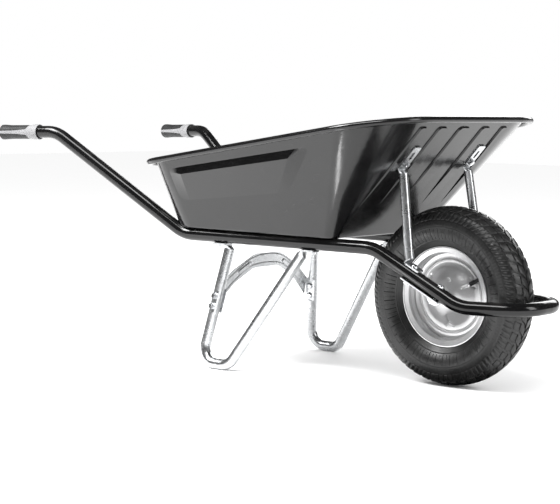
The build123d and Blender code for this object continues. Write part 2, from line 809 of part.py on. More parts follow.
def fastener_groups():
    groups = {}
    floor_top = floor_z + sheet
    under = frame_level - frame_diameter / 2 - leg_tab_thickness
    heads = [Plane(origin=(x, y, floor_top + washer_thickness)) for x, y in tray_bolt_spots()]
    groups["tray_bolts"] = [bolt(plane, floor_top + washer_thickness - under + nut_height + bolt_end) for plane in heads]
    groups["tray_washers"] = [washer(Plane(origin=(x, y, floor_top))) for x, y in tray_bolt_spots()]
    groups["tray_nuts"] = [nut(flipped(Plane(origin=(x, y, under)))) for x, y in tray_bolt_spots()]

    flat = leg_diameter / 2 - leg_flat_depth
    uprights = [upright_plane(height) for height in brace_bolt_heights]
    inner = [flipped(shifted(plane, 0, 0, -flat - brace_sheet)) for plane in uprights]
    outer = [shifted(plane, 0, 0, flat) for plane in uprights]
    groups["brace_bolts"] = [both_sides(bolt(plane, 2 * flat + brace_sheet + nut_height + bolt_end)) for plane in inner]
    groups["brace_nuts"] = [both_sides(nut(plane)) for plane in outer]

    wall = shifted(front_wall_plane(stay_top_bolt_z), stay_y, 0, 0)
    inside = flipped(shifted(wall, 0, 0, -front_wall_thickness()))
    outside = shifted(wall, 0, 0, stay_tab_thickness)
    head = shifted(inside, 0, 0, washer_thickness)
    reach = washer_thickness + front_wall_thickness() + stay_tab_thickness + nut_height + bolt_end
    groups["stay_bolts"] = [both_sides(bolt(head, reach))]
    groups["stay_washers"] = [both_sides(washer(inside))]
    groups["stay_nuts"] = [both_sides(nut(outside))]

    radius = frame_diameter / 2
    first, second = bracket_bolt_planes()
    seats = [shifted(first, 0, 0, radius + stay_tab_thickness), shifted(second, 0, 0, radius)]
    reaches = [frame_diameter + stay_tab_thickness, frame_diameter]
    extra = bracket_sheet + nut_height + bolt_end
    groups["bracket_bolts"] = [both_sides(bolt(seat, reach + extra)) for seat, reach in zip(seats, reaches)]
    unders = [flipped(shifted(plane, 0, 0, -radius - bracket_sheet)) for plane in (first, second)]
    groups["bracket_nuts"] = [both_sides(nut(plane)) for plane in unders]

    lug_face = bracket_lug_y + bracket_lug_thickness
    axle_washer = axle_ring(axle_radius, axle_washer_radius, lug_face, lug_face + washer_thickness)
    spacer = axle_ring(axle_radius, spacer_radius, hub_half_length + side_gap, bracket_lug_y)
    groups["axle_washers"] = [both_sides(axle_washer)]
    groups["axle_nuts"] = [both_sides(axle_nut())]
    groups["wheel_spacers"] = [both_sides(spacer)]
    return {name: group(shapes) for name, shapes in groups.items()}


def save(name, shape):
    placed = Pos(barrow_shift, 0, 0) * shape
    export_step(placed, os.path.join("parts", name + ".step"))


os.makedirs("parts", exist_ok=True)
grip, grip_inlay_piece = grip_pieces()
sides = {
    "leg": leg(),
    "stay": stay(),
    "axle_bracket": axle_bracket(),
    "wheel_disc": wheel_disc(),
    "wheel_bearing": wheel_bearing(),
    "grip": grip,
    "grip_inlay": grip_inlay_piece,
}
for name, shape in sides.items():
    save(name + "_left", shape)
    save(name + "_right", other_side(shape))
singles = {
    "frame_tube": frame_tube(),
    "tray": tray(),
    "leg_brace": brace(),
    "axle": axle(),
    "hub_tube": hub_tube(),
    "rim_ring": rim_ring(),
    "tyre": tyre(),
    "inner_tube": inner_tube(),
    "valve_stem": valve_stem(),
    "valve_cap": valve_cap(),
}
for name, shape in {**singles, **fastener_groups()}.items():
    save(name, shape)
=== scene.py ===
import bpy
import json
import math
from mathutils import Matrix, Vector


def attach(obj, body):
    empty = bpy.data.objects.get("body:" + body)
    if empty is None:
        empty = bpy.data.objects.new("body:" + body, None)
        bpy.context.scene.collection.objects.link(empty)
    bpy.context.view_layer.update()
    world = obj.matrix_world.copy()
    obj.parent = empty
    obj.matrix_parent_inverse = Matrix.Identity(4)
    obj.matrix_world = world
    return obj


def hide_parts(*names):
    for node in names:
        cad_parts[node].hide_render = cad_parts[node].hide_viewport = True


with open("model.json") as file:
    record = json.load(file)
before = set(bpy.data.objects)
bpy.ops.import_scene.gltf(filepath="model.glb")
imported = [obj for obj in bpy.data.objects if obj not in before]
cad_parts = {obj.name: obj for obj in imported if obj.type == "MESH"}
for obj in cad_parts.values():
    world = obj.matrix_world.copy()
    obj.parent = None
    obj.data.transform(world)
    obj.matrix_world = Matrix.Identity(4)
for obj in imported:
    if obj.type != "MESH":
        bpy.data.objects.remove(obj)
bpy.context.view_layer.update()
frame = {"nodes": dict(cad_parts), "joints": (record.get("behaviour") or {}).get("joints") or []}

print("frame loaded:", len(frame["nodes"]), "nodes")

camera = {"place": (2.5252, -3.0209, 0.62175), "turn": 39.9603, "tilt": -5.2191, "roll": 0.7261,
          "lens": 106.23, "shiftX": -0.01832, "shiftY": 0.00263}
studio = {
    "floorSize": 24.0,
    "floorColor": (0.94, 0.94, 0.94, 1.0),
    "floorRoughness": 0.7,
    "backdrop": 1.0,         # what the camera sees behind the floor
    "fill": 1.25,            # what lights matt faces
    "mirrorEdge": 0.16,      # what shiny faces see at the horizon, then above it
    "mirrorTop": 0.06,
    "mirrorFade": 0.35,
}
softBoxes = [
    # name, place, looks at, width, height, watts
    ("overhead", (0.0, -1.6, 3.0), (0.0, 0.0, 0.2), 3.4, 0.9, 110.0),
    ("rightSide", (3.4, 0.6, 1.5), (0.2, 0.0, 0.3), 1.0, 2.0, 35.0),
    ("domeBox", (-1.5, -1.8, 2.75), (0.46, 0.0, 0.2), 1.5, 1.1, 115.0),
    ("behind", (-0.8, 3.4, 1.8), (0.0, 0.0, 0.3), 3.0, 1.2, 60.0),
]
# Low strips that only show as reflections in the shiny pieces
reflectorStrips = [
    ("cornerStrip", (0.215, -0.44, 0.004), (0.34, -0.26, 0.5), 0.05, 0.34, 0.7),
]


def makeCamera():
    data = bpy.data.cameras.new("camera")
    data.lens = camera["lens"]
    data.sensor_width = 36.0
    data.shift_x = camera["shiftX"]
    data.shift_y = camera["shiftY"]
    data.clip_start = 0.05
    data.clip_end = 200.0
    piece = bpy.data.objects.new("camera", data)
    bpy.context.scene.collection.objects.link(piece)
    turn = Matrix.Rotation(math.radians(camera["turn"]), 4, "Z")
    tilt = Matrix.Rotation(math.radians(90.0 + camera["tilt"]), 4, "X")
    roll = Matrix.Rotation(math.radians(camera["roll"]), 4, "Z")
    piece.matrix_world = Matrix.Translation(camera["place"]) @ turn @ tilt @ roll
    bpy.context.scene.camera = piece


# A dark card on the floor that only the shiny pieces see, below the tray's front corner: painted shade in their
# reflections, standing in for the shaded floor under the tray
reflectedShadeCard = {"place": (0.46, -0.11, 0.003), "size": (0.27, 0.40, 1.0), "color": (0.0, 0.0, 0.0, 1.0),
            "roughness": 0.5}


def mattSheet(name, size, place, color, roughness):
    # A flat sheet of the studio, with no shine
    bpy.ops.mesh.primitive_plane_add(size=size, location=place)
    sheet = bpy.context.object
    sheet.name = name
    finish = bpy.data.materials.new(name)
    finish.use_nodes = True
    shader = finish.node_tree.nodes["Principled BSDF"]
    shader.inputs["Base Color"].default_value = color
    shader.inputs["Roughness"].default_value = roughness
    shader.inputs["Specular IOR Level"].default_value = 0.0
    sheet.data.materials.append(finish)
    return sheet


def makeReflectedShadeCard():
    # painted shade: hidden from the camera, from diffuse light and from shadows, so it shows only as a dark
    # reflection
    card = mattSheet("reflected_shade_card", 1.0, reflectedShadeCard["place"], reflectedShadeCard["color"], reflectedShadeCard["roughness"])
    card.scale = reflectedShadeCard["size"]
    card.visible_camera = False
    card.visible_diffuse = False
    card.visible_shadow = False


def makeSoftBox(name, place, target, width, height, power, onlyMirrored=False):
    data = bpy.data.lights.new(name, "AREA")
    data.shape = "RECTANGLE"
    data.size = width
    data.size_y = height
    data.energy = power
    piece = bpy.data.objects.new(name, data)
    bpy.context.scene.collection.objects.link(piece)
    piece.location = place
    piece.rotation_euler = (Vector(target) - Vector(place)).to_track_quat("-Z", "Y").to_euler()
    piece.visible_camera = False
    piece.visible_diffuse = not onlyMirrored


def makeWorld():
    world = bpy.data.worlds.new("studio")
    world.use_nodes = True
    bpy.context.scene.world = world
    nodes, links = world.node_tree.nodes, world.node_tree.links
    nodes.clear()
    output = nodes.new("ShaderNodeOutputWorld")
    path = nodes.new("ShaderNodeLightPath")
    seen = nodes.new("ShaderNodeBackground")
    seen.inputs["Color"].default_value = (1.0, 1.0, 1.0, 1.0)
    seen.inputs["Strength"].default_value = studio["backdrop"]
    fill = nodes.new("ShaderNodeBackground")
    fill.inputs["Strength"].default_value = studio["fill"]
    mirrored = nodes.new("ShaderNodeBackground")
    coord = nodes.new("ShaderNodeTexCoord")
    split = nodes.new("ShaderNodeSeparateXYZ")
    fade = nodes.new("ShaderNodeMapRange")
    fade.inputs["From Min"].default_value = 0.0
    fade.inputs["From Max"].default_value = studio["mirrorFade"]
    fade.inputs["To Min"].default_value = studio["mirrorEdge"]
    fade.inputs["To Max"].default_value = studio["mirrorTop"]
    links.new(coord.outputs["Generated"], split.inputs[0])
    links.new(split.outputs["Z"], fade.inputs["Value"])
    links.new(fade.outputs["Result"], mirrored.inputs["Strength"])
    below = fill.outputs[0]
    for ray, above in (("Is Glossy Ray", mirrored), ("Is Camera Ray", seen)):     # dim in mirrors, white to the eye
        mix = nodes.new("ShaderNodeMixShader")
        links.new(path.outputs[ray], mix.inputs["Fac"])
        links.new(below, mix.inputs[1])
        links.new(above.outputs[0], mix.inputs[2])
        below = mix.outputs[0]
    links.new(below, output.inputs["Surface"])


def makeStudio():
    makeWorld()
    mattSheet("floor", studio["floorSize"], (0.0, 0.0, 0.0), studio["floorColor"], studio["floorRoughness"])
    # the card is painted shade, seen only in reflections
    makeReflectedShadeCard()
    for box in softBoxes:
        makeSoftBox(*box)
    for strip in reflectorStrips:
        makeSoftBox(*strip, onlyMirrored=True)
    bpy.context.scene.view_settings.view_transform = "Standard"


def clearSelection():
    if bpy.context.object and bpy.context.object.mode != "OBJECT":
        bpy.ops.object.mode_set(mode="OBJECT")
    bpy.ops.object.select_all(action="DESELECT")


clearSelection()
makeCamera()
makeStudio()
print("camera and studio ready")


def newGroup(name, inputs, outputs):
    group = bpy.data.node_groups.new(name, "ShaderNodeTree")
    for label, kind, start in inputs:
        socket = group.interface.new_socket(name=label, in_out="INPUT", socket_type=kind)
        socket.default_value = start
    for label, kind in outputs:
        group.interface.new_socket(name=label, in_out="OUTPUT", socket_type=kind)
    return group, group.nodes.new("NodeGroupInput"), group.nodes.new("NodeGroupOutput")


def mathNode(tree, kind, first, second=None, third=None, clamp=False):
    node = tree.nodes.new("ShaderNodeMath")
    node.operation = kind
    node.use_clamp = clamp
    for socket, value in zip(node.inputs, (first, second, third)):
        if value is None:
            continue
        if isinstance(value, (int, float)):
            socket.default_value = value
        else:
            tree.links.new(value, socket)
    return node.outputs[0]


def rangeNode(tree, value, low, high, toLow=0.0, toHigh=1.0):
    node = tree.nodes.new("ShaderNodeMapRange")
    for label, number in (("From Min", low), ("From Max", high), ("To Min", toLow), ("To Max", toHigh)):
        if isinstance(number, (int, float)):
            node.inputs[label].default_value = number
        else:
            tree.links.new(number, node.inputs[label])
    tree.links.new(value, node.inputs["Value"])
    return node.outputs["Result"]


def buildPatches():
    # Soft cloudy patches, for handling marks and uneven gloss
    group, source, sink = newGroup(
        "softPatches",
        [("Scale", "NodeSocketFloat", 12.0), ("Low", "NodeSocketFloat", 0.4), ("High", "NodeSocketFloat", 0.7)],
        [("Mask", "NodeSocketFloat")])
    coord = group.nodes.new("ShaderNodeTexCoord")
    noise = group.nodes.new("ShaderNodeTexNoise")
    noise.inputs["Detail"].default_value = 5.0
    noise.inputs["Roughness"].default_value = 0.62
    group.links.new(coord.outputs["Object"], noise.inputs["Vector"])
    group.links.new(source.outputs["Scale"], noise.inputs["Scale"])
    mask = rangeNode(group, noise.outputs["Fac"], source.outputs["Low"], source.outputs["High"])
    group.links.new(mask, sink.inputs["Mask"])
    return group


def buildGrain():
    # Fine even texture, for orange peel, moulding grain and cast skin
    group, source, sink = newGroup(
        "fineGrain",
        [("Scale", "NodeSocketFloat", 400.0), ("Detail", "NodeSocketFloat", 2.0)],
        [("Height", "NodeSocketFloat"), ("Mask", "NodeSocketFloat")])
    coord = group.nodes.new("ShaderNodeTexCoord")
    noise = group.nodes.new("ShaderNodeTexNoise")
    group.links.new(coord.outputs["Object"], noise.inputs["Vector"])
    group.links.new(source.outputs["Scale"], noise.inputs["Scale"])
    group.links.new(source.outputs["Detail"], noise.inputs["Detail"])
    group.links.new(noise.outputs["Fac"], sink.inputs["Height"])
    group.links.new(rangeNode(group, noise.outputs["Fac"], 0.45, 0.62), sink.inputs["Mask"])
    return group


def buildScratches():
    # Sparse hairline marks running two ways
    group, source, sink = newGroup(
        "hairScratches",
        [("Scale", "NodeSocketFloat", 9.0), ("Width", "NodeSocketFloat", 0.012)],
        [("Mask", "NodeSocketFloat")])
    coord = group.nodes.new("ShaderNodeTexCoord")
    masks = []
    for turn, stretch in (((0.3, 0.2, 0.5), (1.0, 14.0, 9.0)), ((1.1, 0.7, 2.1), (11.0, 1.0, 16.0))):
        place = group.nodes.new("ShaderNodeMapping")
        place.inputs["Rotation"].default_value = turn
        place.inputs["Scale"].default_value = stretch
        noise = group.nodes.new("ShaderNodeTexNoise")
        noise.inputs["Detail"].default_value = 1.0
        group.links.new(coord.outputs["Object"], place.inputs["Vector"])
        group.links.new(place.outputs[0], noise.inputs["Vector"])
        group.links.new(source.outputs["Scale"], noise.inputs["Scale"])
        offset = mathNode(group, "ABSOLUTE", mathNode(group, "SUBTRACT", noise.outputs["Fac"], 0.5))
        line = mathNode(group, "LESS_THAN", offset, source.outputs["Width"])
        spots = group.nodes.new("ShaderNodeTexNoise")
        spots.inputs["Scale"].default_value = 23.0
        group.links.new(place.outputs[0], spots.inputs["Vector"])
        masks.append(mathNode(group, "MULTIPLY", line, rangeNode(group, spots.outputs["Fac"], 0.58, 0.66)))
    group.links.new(mathNode(group, "MAXIMUM", masks[0], masks[1]), sink.inputs["Mask"])
    return group


def buildSpangle():
    # Zinc crystals: a flat shade for each cell, with faint boundaries
    group, source, sink = newGroup(
        "zincSpangle",
        [("Scale", "NodeSocketFloat", 110.0)],
        [("Shade", "NodeSocketFloat"), ("Height", "NodeSocketFloat")])
    coord = group.nodes.new("ShaderNodeTexCoord")
    bend = group.nodes.new("ShaderNodeTexNoise")
    bend.inputs["Scale"].default_value = 60.0
    blend = group.nodes.new("ShaderNodeMix")
    blend.data_type = "VECTOR"       # vector sockets: inputs 4 and 5, output 1
    blend.inputs[0].default_value = 0.012
    cells = group.nodes.new("ShaderNodeTexVoronoi")
    group.links.new(coord.outputs["Object"], bend.inputs["Vector"])
    group.links.new(coord.outputs["Object"], blend.inputs[4])
    group.links.new(bend.outputs["Color"], blend.inputs[5])
    group.links.new(blend.outputs[1], cells.inputs["Vector"])
    group.links.new(source.outputs["Scale"], cells.inputs["Scale"])
    split = group.nodes.new("ShaderNodeSeparateColor")
    group.links.new(cells.outputs["Color"], split.inputs[0])
    group.links.new(split.outputs[0], sink.inputs["Shade"])
    group.links.new(cells.outputs["Distance"], sink.inputs["Height"])
    return group


def buildDust():
    # Pale dust that settles on faces turned up, thinned by noise
    group, source, sink = newGroup(
        "settledDust",
        [("Amount", "NodeSocketFloat", 0.3), ("Scale", "NodeSocketFloat", 30.0)],
        [("Mask", "NodeSocketFloat")])
    geometry = group.nodes.new("ShaderNodeNewGeometry")
    split = group.nodes.new("ShaderNodeSeparateXYZ")
    group.links.new(geometry.outputs["Normal"], split.inputs[0])
    facing = rangeNode(group, split.outputs["Z"], 0.2, 1.0)
    coord = group.nodes.new("ShaderNodeTexCoord")
    noise = group.nodes.new("ShaderNodeTexNoise")
    noise.inputs["Detail"].default_value = 6.0
    group.links.new(coord.outputs["Object"], noise.inputs["Vector"])
    group.links.new(source.outputs["Scale"], noise.inputs["Scale"])
    thin = rangeNode(group, noise.outputs["Fac"], 0.42, 0.75)
    mask = mathNode(group, "MULTIPLY", facing, thin)
    mask = mathNode(group, "MULTIPLY", mask, source.outputs["Amount"], clamp=True)
    group.links.new(mask, sink.inputs["Mask"])
    return group


def buildRadialMarks():
    # Short radial lines and one ring round the wheel's axle, for moulded sidewall detail
    group, source, sink = newGroup(
        "radialMarks",
        [("Count", "NodeSocketFloat", 60.0), ("Width", "NodeSocketFloat", 0.2), ("Inner", "NodeSocketFloat", 0.12),
         ("Outer", "NodeSocketFloat", 0.14), ("Ring", "NodeSocketFloat", 0.13)],
        [("Lines", "NodeSocketFloat"), ("Rings", "NodeSocketFloat")])
    coord = group.nodes.new("ShaderNodeTexCoord")
    place = group.nodes.new("ShaderNodeMapping")
    place.inputs["Location"].default_value = (-wheelCentre[0], 0.0, -wheelCentre[2])
    split = group.nodes.new("ShaderNodeSeparateXYZ")
    group.links.new(coord.outputs["Object"], place.inputs["Vector"])
    group.links.new(place.outputs[0], split.inputs[0])
    x, z = split.outputs["X"], split.outputs["Z"]
    angle = mathNode(group, "ARCTAN2", z, x)
    square = mathNode(group, "MULTIPLY_ADD", x, x, mathNode(group, "MULTIPLY", z, z))
    radius = mathNode(group, "SQRT", square)
    turn = mathNode(group, "MULTIPLY", angle, source.outputs["Count"])
    wave = mathNode(group, "COSINE", turn)
    lines = rangeNode(group, wave, mathNode(group, "SUBTRACT", 1.0, source.outputs["Width"]), 1.0)
    inside = mathNode(group, "GREATER_THAN", radius, source.outputs["Inner"])
    outside = mathNode(group, "LESS_THAN", radius, source.outputs["Outer"])
    lines = mathNode(group, "MULTIPLY", mathNode(group, "MULTIPLY", lines, inside), outside)
    group.links.new(lines, sink.inputs["Lines"])
    gap = mathNode(group, "ABSOLUTE", mathNode(group, "SUBTRACT", radius, source.outputs["Ring"]))
    group.links.new(rangeNode(group, gap, 0.0, ringWidth, 1.0, 0.0), sink.inputs["Rings"])
    return group


wheelCentre = tuple(frame["joints"][0]["pos_m"])
ringWidth = 0.0012
softPatches = buildPatches()
fineGrain = buildGrain()
hairScratches = buildScratches()
zincSpangle = buildSpangle()
settledDust = buildDust()
radialMarks = buildRadialMarks()


class Finish:
    # One material with its shader, and short ways to add nodes to it
    def __init__(self, name, roughness, metallic=0.0, coat=0.0, coatRoughness=0.05, specular=0.5):
        self.material = bpy.data.materials.new(name)
        self.material.use_nodes = True
        self.tree = self.material.node_tree
        self.shader = self.tree.nodes["Principled BSDF"]
        self.shader.inputs["Roughness"].default_value = roughness
        self.shader.inputs["Metallic"].default_value = metallic
        self.shader.inputs["Coat Weight"].default_value = coat
        self.shader.inputs["Coat Roughness"].default_value = coatRoughness
        self.shader.inputs["Specular IOR Level"].default_value = specular

    def group(self, group, **values):
        node = self.tree.nodes.new("ShaderNodeGroup")
        node.node_tree = group
        for label, value in values.items():
            node.inputs[label].default_value = value
        return node

    def mixed(self, mask, low, high):
        node = self.tree.nodes.new("ShaderNodeMix")
        node.data_type = "RGBA"          # colour sockets: inputs 6 and 7, output 2
        self.tree.links.new(mask, node.inputs[0])
        for socket, value in ((node.inputs[6], low), (node.inputs[7], high)):
            if isinstance(value, tuple):
                socket.default_value = (*value, 1.0)
            else:
                self.tree.links.new(value, socket)
        return node.outputs[2]

    def color(self, value):
        self.tree.links.new(value, self.shader.inputs["Base Color"])

    def roughness(self, mask, low, high):
        self.tree.links.new(rangeNode(self.tree, mask, 0.0, 1.0, low, high), self.shader.inputs["Roughness"])

    def bump(self, *layers):
        # layers are (height, strength, distance), the first one lowest
        below = None
        for height, strength, distance in layers:
            node = self.tree.nodes.new("ShaderNodeBump")
            node.inputs["Strength"].default_value = strength
            node.inputs["Distance"].default_value = distance
            self.tree.links.new(height, node.inputs["Height"])
            if below:
                self.tree.links.new(below, node.inputs["Normal"])
            below = node.outputs[0]
        self.tree.links.new(below, self.shader.inputs["Normal"])


def paintFinish(name, color, cloud, roughness, coat):
    finish = Finish(name, roughness, coat=coat, coatRoughness=0.06, specular=0.4)
    patches = finish.group(softPatches, Scale=7.0, Low=0.38, High=0.68)
    dust = finish.group(settledDust, Amount=0.05, Scale=26.0)
    scratches = finish.group(hairScratches, Scale=8.0, Width=0.004)
    peel = finish.group(fineGrain, Scale=240.0, Detail=1.0)
    base = finish.mixed(patches.outputs["Mask"], color, cloud)
    base = finish.mixed(scratches.outputs["Mask"], base, (0.022, 0.022, 0.0225))
    base = finish.mixed(dust.outputs["Mask"], base, (0.30, 0.29, 0.27))
    finish.color(base)
    finish.roughness(patches.outputs["Mask"], roughness - 0.04, roughness + 0.06)
    finish.bump((peel.outputs["Height"], 0.06, 0.0006), (scratches.outputs["Mask"], 0.1, 0.0002))
    return finish.material


def zincFinish(name, dark, light, roughness, scale):
    finish = Finish(name, roughness, metallic=1.0)
    cells = finish.group(zincSpangle, Scale=scale)
    patches = finish.group(softPatches, Scale=18.0, Low=0.35, High=0.7)
    scratches = finish.group(hairScratches, Scale=14.0, Width=0.01)
    grain = finish.group(fineGrain, Scale=900.0, Detail=2.0)
    base = finish.mixed(cells.outputs["Shade"], dark, light)
    base = finish.mixed(scratches.outputs["Mask"], base, (0.9, 0.9, 0.9))
    finish.color(base)
    blend = mathNode(finish.tree, "MULTIPLY_ADD", cells.outputs["Shade"], 0.5, patches.outputs["Mask"])
    finish.roughness(blend, roughness - 0.02, roughness + 0.03)
    finish.bump((cells.outputs["Height"], 0.008, 0.0002), (grain.outputs["Height"], 0.02, 0.0001))
    return finish.material


def silverFinish(name):
    finish = Finish(name, 0.4, metallic=0.65, coat=0.25)
    flake = finish.group(fineGrain, Scale=1600.0, Detail=1.0)
    patches = finish.group(softPatches, Scale=24.0, Low=0.35, High=0.7)
    dust = finish.group(settledDust, Amount=0.1, Scale=60.0)
    base = finish.mixed(flake.outputs["Mask"], (0.44, 0.44, 0.445), (0.56, 0.56, 0.565))
    base = finish.mixed(dust.outputs["Mask"], base, (0.5, 0.48, 0.45))
    finish.color(base)
    finish.roughness(patches.outputs["Mask"], 0.30, 0.38)
    finish.bump((flake.outputs["Height"], 0.04, 0.0002))
    return finish.material


def rubberFinish(name, color, worn, roughness, grainScale, grainDepth):
    finish = Finish(name, roughness, specular=0.3)
    patches = finish.group(softPatches, Scale=22.0, Low=0.35, High=0.7)
    grain = finish.group(fineGrain, Scale=grainScale, Detail=3.0)
    dust = finish.group(settledDust, Amount=0.08, Scale=70.0)
    base = finish.mixed(patches.outputs["Mask"], color, worn)
    base = finish.mixed(dust.outputs["Mask"], base, (0.26, 0.25, 0.23))
    finish.color(base)
    finish.roughness(patches.outputs["Mask"], roughness - 0.07, roughness + 0.07)
    finish.bump((grain.outputs["Height"], 0.25, grainDepth))
    return finish.material


def tyreFinish(name, color, worn, roughness):
    finish = Finish(name, roughness, specular=0.5)
    patches = finish.group(softPatches, Scale=20.0, Low=0.35, High=0.7)
    grain = finish.group(fineGrain, Scale=620.0, Detail=3.0)
    dust = finish.group(settledDust, Amount=0.06, Scale=70.0)
    ventMarksAndShade = finish.group(radialMarks, Count=46.0, Width=0.05, Inner=0.127, Outer=0.152, Ring=0.1245)
    fine = finish.group(radialMarks, Count=150.0, Width=0.9, Inner=0.158, Outer=0.168, Ring=0.1545)
    base = finish.mixed(patches.outputs["Mask"], color, worn)
    base = finish.mixed(dust.outputs["Mask"], base, (0.20, 0.19, 0.18))
    # the vent lines are coloured darker than the rubber: painted shade in the moulded lines, against the sidewall's
    # sheen
    base = finish.mixed(ventMarksAndShade.outputs["Lines"], base, (0.004, 0.004, 0.004))
    finish.color(base)
    finish.roughness(patches.outputs["Mask"], roughness - 0.08, roughness + 0.08)
    finish.bump((grain.outputs["Height"], 0.2, 0.0003), (fine.outputs["Lines"], 0.35, 0.0005),
                (ventMarksAndShade.outputs["Lines"], 0.9, 0.0016), (ventMarksAndShade.outputs["Rings"], 0.6, 0.0008),
                (fine.outputs["Rings"], 0.5, 0.0006))
    return finish.material


def steelFinish(name, dark, light, roughness):
    finish = Finish(name, roughness, metallic=1.0)
    patches = finish.group(softPatches, Scale=90.0, Low=0.35, High=0.7)
    scratches = finish.group(hairScratches, Scale=40.0, Width=0.02)
    grain = finish.group(fineGrain, Scale=1400.0, Detail=2.0)
    base = finish.mixed(patches.outputs["Mask"], dark, light)
    base = finish.mixed(scratches.outputs["Mask"], base, (0.85, 0.85, 0.85))
    finish.color(base)
    finish.roughness(patches.outputs["Mask"], roughness - 0.05, roughness + 0.1)
    finish.bump((grain.outputs["Height"], 0.06, 0.0002))
    return finish.material


finishes = {
    "tray_black": paintFinish("trayPaint", (0.004, 0.004, 0.0042), (0.006, 0.006, 0.0062), 0.16, 0.12),
    "frame_black": paintFinish("framePaint", (0.003, 0.003, 0.0032), (0.005, 0.005, 0.0052), 0.14, 0.0),
    "galvanised": zincFinish("galvanisedZinc", (0.50, 0.51, 0.52), (0.58, 0.59, 0.60), 0.27, 140.0),
    "wheel_silver": silverFinish("wheelSilver"),
    "tyre_rubber": tyreFinish("tyreRubber", (0.007, 0.007, 0.007), (0.012, 0.012, 0.012), 0.38),
    "tube_rubber": rubberFinish("tubeRubber", (0.010, 0.010, 0.010), (0.02, 0.02, 0.02), 0.5, 900.0, 0.0003),
    "grip_dark": rubberFinish("gripDark", (0.013, 0.0135, 0.014), (0.02, 0.0205, 0.021), 0.55, 1100.0, 0.0003),
    "grip_light": rubberFinish("gripLight", (0.22, 0.22, 0.225), (0.26, 0.26, 0.265), 0.55, 1100.0, 0.0002),
    "bearing_steel": steelFinish("bearingSteel", (0.45, 0.45, 0.46), (0.6, 0.6, 0.61), 0.3),
    "zinc_hardware": steelFinish("zincHardware", (0.62, 0.63, 0.65), (0.78, 0.79, 0.8), 0.24),
}
nodeSlots = {
    "tray": "tray_black", "frame_tube": "frame_black", "leg_left": "galvanised", "leg_right": "galvanised",
    "leg_brace": "galvanised", "stay_left": "galvanised", "stay_right": "galvanised",
    "axle_bracket_left": "galvanised", "axle_bracket_right": "galvanised", "tyre": "tyre_rubber",
    "inner_tube": "tube_rubber", "valve_stem": "tube_rubber", "valve_cap": "tube_rubber",
    "rim_ring": "wheel_silver", "wheel_disc_left": "wheel_silver", "wheel_disc_right": "wheel_silver",
    "hub_tube": "wheel_silver", "wheel_bearing_left": "bearing_steel", "wheel_bearing_right": "bearing_steel",
    "axle": "bearing_steel", "wheel_spacers": "bearing_steel", "grip_left": "grip_dark",
    "grip_right": "grip_dark", "grip_inlay_left": "grip_light", "grip_inlay_right": "grip_light",
}


def dressNodes():
    for name, node in frame["nodes"].items():
        node.data.materials.clear()
        node.data.materials.append(finishes[nodeSlots.get(name, "zinc_hardware")])


dressNodes()
print("finishes on", len(frame["nodes"]), "nodes")

# The tyre, with its tread
tyre = {
    "turns": 144,
    # (radius, half width) in metres, from the bead seat out to the tread, then the floor of the tread grooves
    "side": [(0.1014, 0.0185), (0.1016, 0.0252), (0.1094, 0.0279), (0.1117, 0.0292), (0.1123, 0.0306),
             (0.1180, 0.0348), (0.1260, 0.0405), (0.1400, 0.0474), (0.1555, 0.0498), (0.1660, 0.0488)],
    "grooves": [(0.1708, 0.0474), (0.1814, 0.0420), (0.1886, 0.0336), (0.1936, 0.0207), (0.1958, 0.0090),
                (0.1964, 0.0)],
    "tops": [(0.1712, 0.0482), (0.1828, 0.0428), (0.1908, 0.0343), (0.1964, 0.0209), (0.1990, 0.0090),
             (0.1997, 0.0)],
    "inside": [(0.1030, 0.0178), (0.1106, 0.0202), (0.1180, 0.0285), (0.1320, 0.0375), (0.1520, 0.0419),
               (0.1700, 0.0394), (0.1830, 0.0299), (0.1900, 0.0139), (0.1914, 0.0)],
    # foot and crest of the short raised lines on the sidewall
    "ventFeet": [(0.1275, 0.0412), (0.1400, 0.0472), (0.1515, 0.0492)],
    "ventCrests": [(0.1275, 0.0423), (0.1400, 0.0483), (0.1515, 0.0500)],
    "sink": 0.0006,
    "blockTop": (0.86, 0.95, 1.0),
    "blockEdge": 0.0007,
    "turn": 35.0,            # edges turning more than this, in degrees, stay crisp
}
# Each row on one side: how many blocks, width round the tyre, span across it counted in steps of its crests
# from the outermost one, slant and curl of the block, and a shift round the tyre as a share of the pitch.
# The rows are the crown, the middle, the shoulder and the sidewall lines.
treadRows = [
    {"count": 48, "width": 0.0205, "start": 0.16, "end": 1.72, "slant": 0.0085, "curl": 0.0,
     "shift": 0.0},
    {"count": 48, "width": 0.0212, "start": 1.98, "end": 3.02, "slant": 0.0060, "curl": 0.0,
     "shift": 0.55},
    {"count": 96, "width": 0.0112, "start": 3.22, "end": 4.97, "slant": 0.0030, "curl": 0.0022,
     "shift": 0.3},
    {"count": 46, "width": 0.0026, "start": 0.0, "end": 2.0, "slant": 0.0, "curl": 0.0,
     "shift": 0.0, "feet": "ventFeet", "crests": "ventCrests"},
]


mergeDistance = 0.00001


def activate(*chosen):
    clearSelection()
    for piece in chosen:
        piece.select_set(True)
    bpy.context.view_layer.objects.active = chosen[0]


def mergeClose():
    bpy.ops.mesh.remove_doubles(threshold=mergeDistance)


def faceOutwards():
    bpy.ops.mesh.normals_make_consistent(inside=False)


def editAll(piece, *steps):
    # Run the steps in edit mode on the whole of a piece
    activate(piece)
    bpy.ops.object.mode_set(mode="EDIT")
    bpy.ops.mesh.select_all(action="SELECT")
    for step in steps:
        step()
    bpy.ops.object.mode_set(mode="OBJECT")


